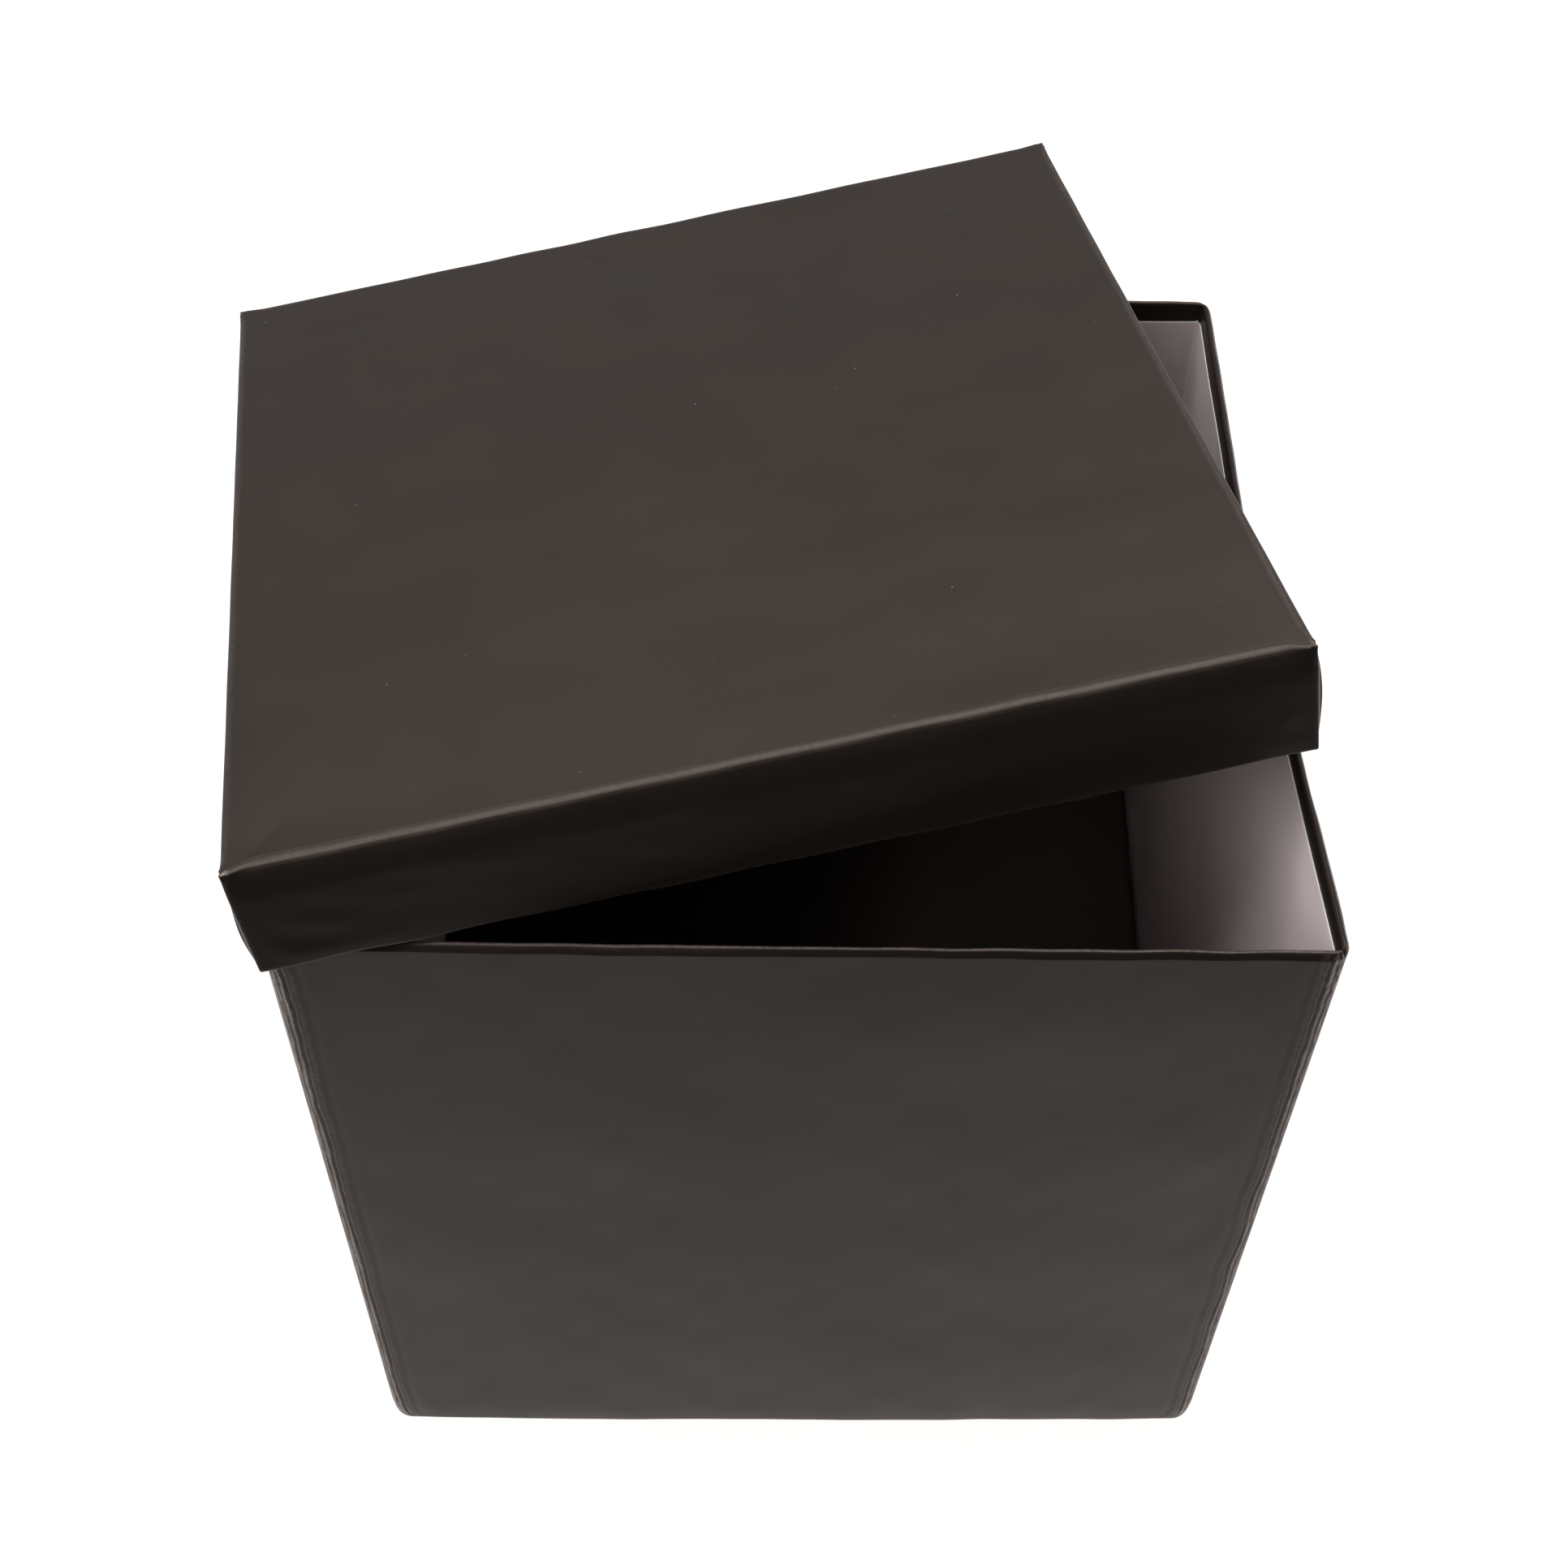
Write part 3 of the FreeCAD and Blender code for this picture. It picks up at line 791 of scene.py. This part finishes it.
fx, fy = floor_grid[..., 0] / MM, floor_grid[..., 1] / MM
flat_part = ramp(HALF_PANEL - np.maximum(np.abs(fx), np.abs(fy)), 0.5, 9)
floor_grid[..., 2] += MM * flat_part * (0.12 * ripple(30, 80, fx, fy) - 0.10)
cover = shell("floor_cover_paper", laid_floor(floor_grid), PAPER, True)
finish_piece(cover, "floor_panel", floor_paper, "floor_cover",
             marks_and_sheen=np.zeros(len(cover.data.vertices)))


def floor_slab(name, node, low_z, high_z, inset, material):
    """A flat layer of the floor panel, set in from its edges."""
    grid = []
    for y in cuts(-FLOOR_D + inset, FLOOR_D - inset, 8 * MM):
        grid.append([(x, y, high_z) for x in cuts(-FLOOR_W + inset, FLOOR_W - inset, 8 * MM)])
    piece = shell(name, laid_floor(np.array(grid)), high_z - low_z, False)
    tidy_normals(piece)
    finish_piece(piece, "floor_panel", material, node)


floor_slab("floor_board_core", "floor_board", -FLOOR_T + 0.35 * MM, -0.35 * MM, 0.35 * MM,
           board_stock)
floor_slab("floor_backing_paper", "floor_backing", -FLOOR_T - 0.02 * MM, -FLOOR_T + 0.2 * MM, 2.0 * MM,
           floor_paper)

# ---- the lid's wrap: up the skirts, over the top, and turned up inside ------------------------------
LID_FOOT = 0.6 * MM  # the outside radius of the skirts' foot
lid_section = [(LID_WALL, -LID_H + z * MM) for z in (15, 12, 9, 6, 3, 1.6)]
lid_section += quarter(LID_WALL - 0.02 * MM, -LID_H + 0.7 * MM, LID_WALL - 0.7 * MM, -LID_H, 4)
lid_section += quarter_over(LID_FOOT, -LID_H, 0.0, -LID_H + LID_FOOT, 5)
skirt_steps = stretch((LID_H - 2.0 * MM - LID_FOOT) / MM, 0.6, 4.0, 1.4)[1:-1]
lid_section += [(0.0, -LID_H + LID_FOOT + t * (LID_H - 2.6 * MM)) for t in skirt_steps]
lid_bend = bend([(1.0, 56), (1.4, 27), (0.9, 7)], 6) * MM
EDGE, EDGE_DROP = lid_bend[-1]  # how far the top edge's bend reaches in, and how far it drops
lid_section += [(w, z - EDGE_DROP) for w, z in lid_bend]
lid_section = np.array(lid_section)
LID_CORNER = 0.5 * MM
lid_corner, lid_from, lid_round = ring_places(LID_W, LID_D, LID_CORNER)
ls = lid_from / MM
TIGHT = 0.45  # the bend's reach at a corner, as a share of its reach along the sides
away = ramp(np.abs(ls), 0.5, 8.0)[:, None]
lid_rings = []
for w, z in lid_section:
    on_top = z > -LID_H / 2
    radii = [LID_CORNER * max(0.0, 1 - w / EDGE) if on_top else LID_CORNER] * 4
    plan = ring(LID_W - w, LID_D - w, radii)
    if on_top:
        tucked = ring(LID_W - TIGHT * w, LID_D - TIGHT * w, radii)
        plan = tucked + (plan - tucked) * away
    lid_rings.append(np.column_stack([plan, np.full(len(plan), z)]))
lid_grid = np.array(lid_rings)
lz = lid_section[:, 1][:, None] / MM
lw = lid_section[:, 0][:, None] / MM
near_edge = ramp(lz * MM, -2 * EDGE_DROP - 6 * MM, -EDGE_DROP)
lid_grid[..., 2] += near_edge * (1 - TIGHT) * (1 - away[:, 0]) * np.minimum(EDGE_DROP, -lz * MM)
skirt_face = ramp(lw, 0.5 * LID_WALL / MM, 0.0) * ramp(-lz, 1.5, 3.0)
lid_around = lid_round[None, :] / MM
wavy = 0.12 * ripple(14, 55, lid_around, lz * 2) + 0.05 * ripple(15, 14, lid_around, lz * 2)
push = np.maximum(wavy, -0.08) * skirt_face * ramp(np.abs(ls), 1.0, 8.0)[None, :]
lid_normal = grid_normals(lid_grid, True)
lid_normal[..., 2] = 0
lid_grid += lid_normal * push[..., None] * MM
lid_grid[..., 2] += 0.10 * MM * ripple(16, 30, lid_around) * ramp(lz, -3.0, -0.6)
lid_grid[..., 2] += 0.18 * MM * ripple(17, 36, lid_around) * ramp(-lz, 24, 30)

# the folded paper bunches at the upper corners, outwards and a little upwards
knot_way = np.concatenate([lid_normal[..., :2], np.ones_like(lz * ls)[..., None] * 0.35], 2)
for number, strength in enumerate((1.0, 0.7, 0.5, 0.9)):
    here = (lid_corner == number)[None, :]
    knot = 0.22 * bump(ls, 0.0, 0.6) + 0.22 * bump(ls, -1.9, 0.45) + 0.2 * bump(ls, 2.2, 0.5)
    knot = knot - 0.28 * bump(ls, -1.0, 0.35) - 0.24 * bump(ls, 1.2, 0.4)
    knot = strength * knot[None, :] * np.where(here, 1, 0) * bump(lz, -0.9, 0.9) * ramp(lz, 0, -0.3)
    lid_grid += knot_way * knot[..., None] * MM

# the top: a grid whose border is the last ring
edge_ring = lid_grid[-1]


def ring_side(i):
    """The last ring's points along one side, from one corner's end to the next corner's start."""
    start = i * SIDE_BLOCK + ARC - 1
    return np.array([edge_ring[(start + k) % len(edge_ring)] for k in range(len(RUN) + 2)])


right, back, left, front = (ring_side(i) for i in range(4))
left, back = left[::-1], back[::-1]
t = (np.concatenate([[-1.0], -1 + 2 * RUN, [1.0]]) + 1) / 2
U, V = np.meshgrid(t, t)
U, V = U[..., None], V[..., None]
blend_rows = (1 - V) * front[None, :, :] + V * back[None, :, :]
blend_columns = (1 - U) * left[:, None, :] + U * right[:, None, :]
corner_part = ((1 - U) * (1 - V) * front[0] + U * (1 - V) * front[-1]
               + (1 - U) * V * back[0] + U * V * back[-1])
top_grid = blend_rows + blend_columns - corner_part

rows, columns = lid_grid.shape[:2]
ring_count = rows * columns
across = len(top_grid)
top_faces = [tuple(ring_count + i for i in face) for face in quads(across, across, False)]
lid_points = np.concatenate([lid_grid.reshape(-1, 3), top_grid.reshape(-1, 3)])
lid_faces = quads(rows, columns, True) + top_faces
lid_wrap = mesh_object("lid_wrap_paper", sprung_lid(lid_points), lid_faces, 60)

# it is paler at the uprights and the foot, rubbed and partly a painted highlight of those crisp edges,
# rubbed at the folded corners, painted with a highlight along the top's front edge, and dull on the
# side skirts
# paler lines at the uprights and the foot: rubbed, and partly a painted highlight of those edges
upright = bump(ls, 0, 0.75)[None, :] * ramp(-lz, 2.0, 3.5) * ramp(lw, 0.6, 0.0)
foot_line = bump(lz, -LID_H / MM + 0.3, 0.5) * ramp(lw, 1.0, 0.1)
wear_and_highlight = 0.16 * upright + 0.10 * foot_line
for number, strength in enumerate((0.45, 0.2, 0.2, 1.0)):
    here = np.where(lid_corner == number, 1, 0)[None, :]
    wear_and_highlight = wear_and_highlight + strength * here * bump(ls, 0.8, 0.6)[None, :] * bump(lz, -0.35, 0.4)
# a painted highlight along the top's front edge
wear_and_highlight = wear_and_highlight + 0.07 * bump(lw, 1.3, 0.7) * ramp(lz, -2.0, -1.0)
sides = ramp(np.abs(lid_grid[..., 0]), LID_W - 3 * MM, LID_W - 1 * MM)
sides = sides * ramp(np.abs(ls), 0.4, 1.0)[None, :] * ramp(-lz, 1.5, 4.0)
at_front_or_back = np.abs(np.abs(lid_grid[..., 1]) - LID_D) < 1.0 * MM
wear_and_highlight = np.where(at_front_or_back, wear_and_highlight, wear_and_highlight - sides)
lid_marks_and_sheen = np.zeros(len(lid_wrap.data.vertices))
lid_marks_and_sheen[:ring_count] = np.clip(wear_and_highlight, -1, 1).ravel()
set_marks_and_sheen(lid_wrap, lid_marks_and_sheen)
tidy_normals(lid_wrap, 0.004 * MM)
lid_wrap.data.shade_smooth()
thick = lid_wrap.modifiers.new("paper", "SOLIDIFY")
thick.thickness = PAPER
thick.offset = -1
finish_piece(lid_wrap, "lid", lid_paper, "lid_wrap")

# ---- the lid's boards and lining --------------------------------------------------------------------
inner = 0.25 * MM
board_in = LID_BOARD - 0.1 * MM
x0, y0 = LID_W - inner, LID_D - inner
x1, y1 = x0 - 1.2 * MM, y0 - 1.2 * MM
foot_z, head_z = -LID_H + 0.5 * MM, -2.2 * MM
lid_boards = {
    "lid_top_board": ((-x1, -y1, -LID_BOARD - PAPER), (x1, y1, -0.75 * MM)),
    "lid_front_skirt": ((-x0, -y0, foot_z), (x0, -y0 + board_in - inner, head_z)),
    "lid_back_skirt": ((-x0, y0 - board_in + inner, foot_z), (x0, y0, head_z)),
    "lid_left_skirt": ((-x0, -y0 + board_in, foot_z), (-x0 + board_in - inner, y0 - board_in, head_z)),
    "lid_right_skirt": ((x0 - board_in + inner, -y0 + board_in, foot_z), (x0, y0 - board_in, head_z)),
}
for node, (low, high) in lid_boards.items():
    board(node + "_core", low, high, sprung_lid, "lid", step=3 * MM)

# its lining covers the underside of the top and laps down over the turned-up wrap
inside_w, inside_d = LID_W - LID_WALL - 0.05 * MM, LID_D - LID_WALL - 0.05 * MM
ceiling, cove = -LID_WALL - 0.35 * MM, 1.2 * MM
lining_rows = []
for z in (-LID_H + 14.0 * MM, -14 * MM, -11 * MM, -8 * MM, -5 * MM, -3.2 * MM):
    lining_rows.append(level_ring(inside_w, inside_d, [0.8 * MM] * 4, z))
for inset, z in quarter(0, -3.2 * MM, cove, ceiling, 5)[1:]:
    lining_rows.append(level_ring(inside_w - inset, inside_d - inset, [0.5 * MM] * 4, z))
edge_shares = 1 - np.array([1, 2.5, 5, 8, 12]) / HALF_PANEL
for share in np.concatenate([edge_shares, np.linspace(0.82, 0.02, 22)]):
    radii = [0.4 * MM * share] * 4
    lining_rows.append(level_ring((inside_w - cove) * share, (inside_d - cove) * share, radii, ceiling))
grid = np.array(lining_rows)
gx, gy = grid[..., 0] / MM, grid[..., 1] / MM
flat_part = ramp(HALF_PANEL - np.maximum(np.abs(gx), np.abs(gy)), 0.0, 12)
grid[..., 2] += MM * flat_part * (0.15 * ripple(33, 70, gx, gy) - 0.45)
lid_lining = shell("lid_liner_paper", sprung_lid(grid)[:, ::-1], PAPER, True)
tidy_normals(lid_lining)
finish_piece(lid_lining, "lid", pale_paper, "lid_liner",
             marks_and_sheen=np.zeros(len(lid_lining.data.vertices)))

# ---- floor, lights and camera -----------------------------------------------------------------------
def staged(name, corners, faces, material):
    """A flat part of the studio, not of the object."""
    mesh = bpy.data.meshes.new(name)
    mesh.from_pydata(corners, [], faces)
    mesh.materials.append(material)
    thing = bpy.data.objects.new(name, mesh)
    bpy.context.scene.collection.objects.link(thing)
    return thing


# a pale floor that gives off its own light, with a plain patch under the box
floor_material, tree, shader, place = new_material("studio_floor")
floor_tone = mottled(tree, noise(tree, place, 60, 3), (0.13, 0.13, 0.13, 1), (0.15, 0.15, 0.15, 1))
tree.links.new(floor_tone, shader.inputs["Base Color"])
set_inputs(shader, Roughness=0.8, Specular_IOR_Level=0.0,
           Emission_Color=(1, 0.965, 0.935, 1), Emission_Strength=0.95)
shade_material, tree, shader, place = new_material("studio_floor_under")
under_tone = mix_colour(tree, noise(tree, place, 60), (0.3, 0.3, 0.3, 1), (0.32, 0.32, 0.32, 1))
tree.links.new(under_tone, shader.inputs["Base Color"])
under_x, under_y = HALF_W - 2.3 * MM, HALF_D - 2.3 * MM
lines_x, lines_y = (-3.0, -under_x, under_x, 3.0), (-2.6, -under_y, under_y, 3.4)
ground = staged("studio_floor", [(x, y, 0.0) for y in lines_y for x in lines_x],
                quads(4, 4, False), floor_material)
ground.data.materials.append(shade_material)
MIDDLE_PATCH = 4  # of the nine
ground.data.polygons[MIDDLE_PATCH].material_index = 1

world = bpy.data.worlds.new("studio")
bpy.context.scene.world = world
world.use_nodes = True
world.node_tree.nodes["Background"].inputs["Color"].default_value = (1.0, 1.0, 1.0, 1)
world.node_tree.nodes["Background"].inputs["Strength"].default_value = 0.45


def area_light(name, place, target, size, power):
    """A rectangular light that faces its target."""
    light = bpy.data.lights.new(name, "AREA")
    light.shape = "RECTANGLE"
    light.size, light.size_y = size
    light.energy = power
    light.spread = math.radians(180)
    thing = bpy.data.objects.new(name, light)
    bpy.context.scene.collection.objects.link(thing)
    thing.location = place
    thing.rotation_euler = (Vector(target) - Vector(place)).to_track_quat("-Z", "Y").to_euler()


def soft_box(name, azimuth, elevation, power):
    """A square soft box that faces the lid's open corner; azimuth turns from -X towards -Y."""
    a, e = math.radians(azimuth), math.radians(elevation)
    way = Vector((-math.cos(e) * math.cos(a), -math.cos(e) * math.sin(a), math.sin(e)))
    area_light(name, OPEN_CORNER + 1.5 * way, OPEN_CORNER, (0.6, 0.6), power)


OPEN_CORNER = Vector((0.11, -0.09, 0.23))
area_light("overhead", (0.0, 0.35, 2.0), (0.0, 0.3, 0.0), (1.6, 1.4), 38)
soft_box("left_high", 20, 55, 11)
soft_box("left_low", 30, 25, 9)
soft_box("back_left", -60, 45, 2)
soft_box("back_right", -120, 50, 9.5)

def card(name, half_width, low_edge, high_edge, material):
    """A card that the camera doesn't see, between two edges given as (y, z)."""
    (low_y, low_z), (high_y, high_z) = low_edge, high_edge
    corners = [(-half_width, low_y, low_z), (half_width, low_y, low_z),
               (half_width, high_y, high_z), (-half_width, high_y, high_z)]
    thing = staged(name, corners, [(0, 1, 2, 3)], material)
    thing.visible_camera = False
    return thing


# a low dark card in front shades what the lid's front skirt mirrors, and a tall one behind the camera
# is as dark as a dim room would be
flag_material, tree, shader, place = new_material("flag_black")
set_inputs(shader, Base_Color=(0.01, 0.01, 0.01, 1), Roughness=0.9, Specular_IOR_Level=0.0)
card("flag", 1.2, (-0.38, 0.0), (-0.38, 0.36), flag_material)
card("dim_room", 0.8, (-1.0, 0.0), (-0.95, 2.6), flag_material)

# the box dims the floor at its own foot; a thin veil gives that back to the reflections in the front
veil_material, tree, shader, place = new_material("veil")
along = add_node(tree, "ShaderNodeSeparateXYZ", Vector=place).outputs["Y"]
tree.links.new(map_range(tree, along, -0.27, -0.14, 0.0, 0.27), shader.inputs["Alpha"])
set_inputs(shader, Base_Color=(0.0, 0.0, 0.0, 1), Roughness=1.0, Specular_IOR_Level=0.0)
veil = card("foot_veil", 0.3, (-0.30, 0.001), (-0.127, 0.001), veil_material)
veil.visible_shadow = False
veil.visible_diffuse = False

FRAME_PIXELS = 1932
SENSOR = 36.0  # millimetres
LENS_PIXELS = 2659.0
CAMERA_PLACE = (-0.00832, -0.42080, 0.64036)
yaw, pitch, roll = 0.01366, 0.84716, 0.01556  # radians
forward = Vector((math.sin(yaw) * math.cos(pitch), math.cos(yaw) * math.cos(pitch), -math.sin(pitch)))
level_right = Vector((math.cos(yaw), -math.sin(yaw), 0))
level_up = level_right.cross(forward)
right_way = level_right * math.cos(roll) + level_up * math.sin(roll)
up_way = level_up * math.cos(roll) - level_right * math.sin(roll)
camera_data = bpy.data.cameras.new("photo_view")
camera = bpy.data.objects.new("photo_view", camera_data)
bpy.context.scene.collection.objects.link(camera)
camera_data.sensor_width = SENSOR
camera_data.lens = LENS_PIXELS / FRAME_PIXELS * SENSOR
camera_data.shift_x = -0.0031
camera_data.shift_y = -0.0056
camera_data.clip_start = 0.01
turn = Matrix((right_way, up_way, -forward)).transposed().to_4x4()
camera.matrix_world = Matrix.Translation(CAMERA_PLACE) @ turn
bpy.context.scene.camera = camera
bpy.context.scene.view_settings.view_transform = "Standard"

bpy.context.view_layer.update()
